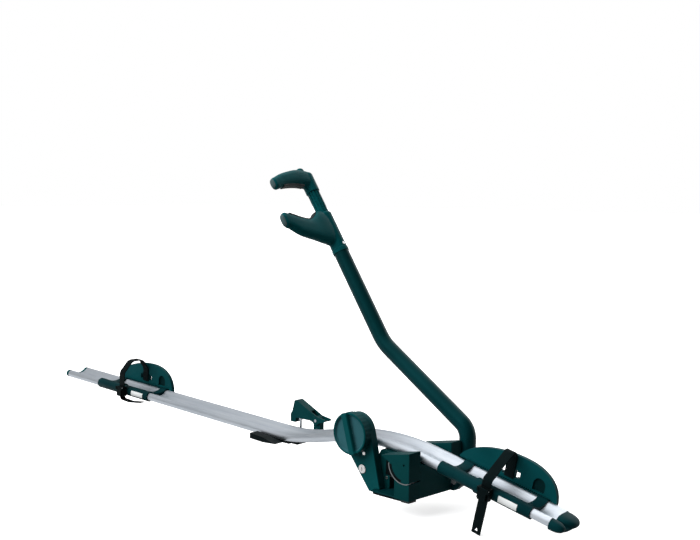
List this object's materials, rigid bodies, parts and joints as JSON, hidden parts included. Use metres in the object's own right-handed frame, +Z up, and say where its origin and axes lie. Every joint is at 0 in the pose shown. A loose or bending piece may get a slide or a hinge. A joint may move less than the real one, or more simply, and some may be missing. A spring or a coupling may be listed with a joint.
{
  "type": "roof mounted bike carrier",
  "caption": "Roof bar bike carrier: bent twin-rail tray, clamp foot with knob and lock, folding arm with sliding frame jaw, strap wheel holders and rear bar support.",
  "frame": {"origin": "centre of the front roof-bar seat, on the underside of the foot's rubber pad", "axes": "+X along the tray to its front end, +Y across to the side of the frame holder arm, +Z up from the front roof bar"},
  "size_m": [1.4169, 0.1892, 0.6344],
  "materials": {
    "tray_metal": "satin anodised",
    "steel": "zinc plated",
    "lock_metal": "polished",
    "arm_paint": "semi-gloss powder coat",
    "housing_plastic": "smooth moulded",
    "holder_plastic": "smooth moulded",
    "strap_plastic": "satin",
    "pad_rubber": "matte"
  },
  "bodies": {
    "carrier": {"tray": "tray_metal", "rear_cap": "housing_plastic", "front_cap": "housing_plastic", "foot_housing": "housing_plastic", "cheek_near": "housing_plastic", "cheek_far": "housing_plastic", "cheek_strips": "steel", "bar_pad": "pad_rubber", "bar_strap": "arm_paint", "strap_bolts": "steel", "strap_nuts": "steel", "tray_bolts": "steel", "corner_feet": "pad_rubber", "knob_housing": "housing_plastic", "housing_cover": "housing_plastic", "housing_screws": "steel", "lock_collar": "lock_metal", "arm_bracket": "arm_paint", "arm_pin": "steel"},
    "lock": {"lock_cylinder": "lock_metal"},
    "knob_set": {"knob": "housing_plastic", "knob_shaft": "steel", "cable_drum": "steel"},
    "arm": {"arm_knuckle": "arm_paint", "arm_bushes": "pad_rubber", "arm_tube": "arm_paint", "cable_conduit": "pad_rubber", "lower_jaw": "housing_plastic", "lower_jaw_pad": "pad_rubber", "jaw_screw": "steel"},
    "sliding_jaw": {"jaw_rod": "housing_plastic", "upper_jaw": "housing_plastic", "upper_jaw_pad": "pad_rubber", "rod_cap": "housing_plastic"},
    "front_holder": {"front_holder_frame": "holder_plastic", "front_shield": "holder_plastic", "front_strap": "strap_plastic", "front_buckle": "strap_plastic", "front_lever_pin": "steel", "front_holder_screws": "steel"},
    "front_release": {"front_release_lever": "strap_plastic"},
    "rear_holder": {"rear_holder_frame": "holder_plastic", "rear_shield": "holder_plastic", "rear_strap": "strap_plastic", "rear_buckle": "strap_plastic", "rear_lever_pin": "steel", "rear_holder_screws": "steel"},
    "rear_release": {"rear_release_lever": "strap_plastic"},
    "bar_support": {"support_saddle": "housing_plastic", "support_pad": "pad_rubber", "support_bolt": "steel", "lever_post": "housing_plastic", "locking_pin": "steel", "draw_screw": "steel"},
    "support_lever": {"locking_lever": "housing_plastic"}
  },
  "joints": [
    {"name": "lock_turn", "type": "hinge", "parent": "carrier", "child": "lock", "pos_m": [-0.068, -0.058, 0.008], "axis": [0, 1, 0], "range_deg": [0, 90]},
    {"name": "knob_turn", "type": "hinge", "parent": "carrier", "child": "knob_set", "pos_m": [-0.087, -0.058, 0.074], "axis": [0, 1, 0], "range_deg": [-270, 360]},
    {"name": "arm_fold", "type": "hinge", "parent": "carrier", "child": "arm", "pos_m": [0.067, 0.0876, -0.008], "axis": [0, 1, 0], "range_deg": [-38, 25]},
    {"name": "jaw_slide", "type": "slide", "parent": "arm", "child": "sliding_jaw", "axis": [-0.5519, 0, 0.8339], "range_m": [-0.046, 0.035]},
    {"name": "front_holder_slide", "type": "slide", "parent": "carrier", "child": "front_holder", "axis": [0.9755, 0, -0.2198], "range_m": [-0.018, 0.01]},
    {"name": "front_release_tip", "type": "hinge", "parent": "front_holder", "child": "front_release", "pos_m": [0.19253, -0.0492, 0.02121], "axis": [-0.9755, 0, 0.2198], "range_deg": [0, 35], "stiffness_Nm_per_rad": 0.02},
    {"name": "rear_holder_slide", "type": "slide", "parent": "carrier", "child": "rear_holder", "axis": [0.9991, 0, -0.0419], "range_m": [-0.06, 0.12]},
    {"name": "rear_release_tip", "type": "hinge", "parent": "rear_holder", "child": "rear_release", "pos_m": [-0.83233, -0.0492, 0.05378], "axis": [-0.9991, 0, 0.0419], "range_deg": [0, 35], "stiffness_Nm_per_rad": 0.02},
    {"name": "bar_support_slide", "type": "slide", "parent": "carrier", "child": "bar_support", "axis": [0.9991, 0, -0.0419], "range_m": [-0.2, 0]},
    {"name": "support_lever_tip", "type": "hinge", "parent": "bar_support", "child": "support_lever", "pos_m": [-0.284, 0.0545, 0.046], "axis": [0, 1, 0], "range_deg": [0, 60]}
  ],
  "couplings": [
    {"joint": "jaw_slide", "follows": "knob_turn", "m_per_rad": -0.0072}
  ]
}
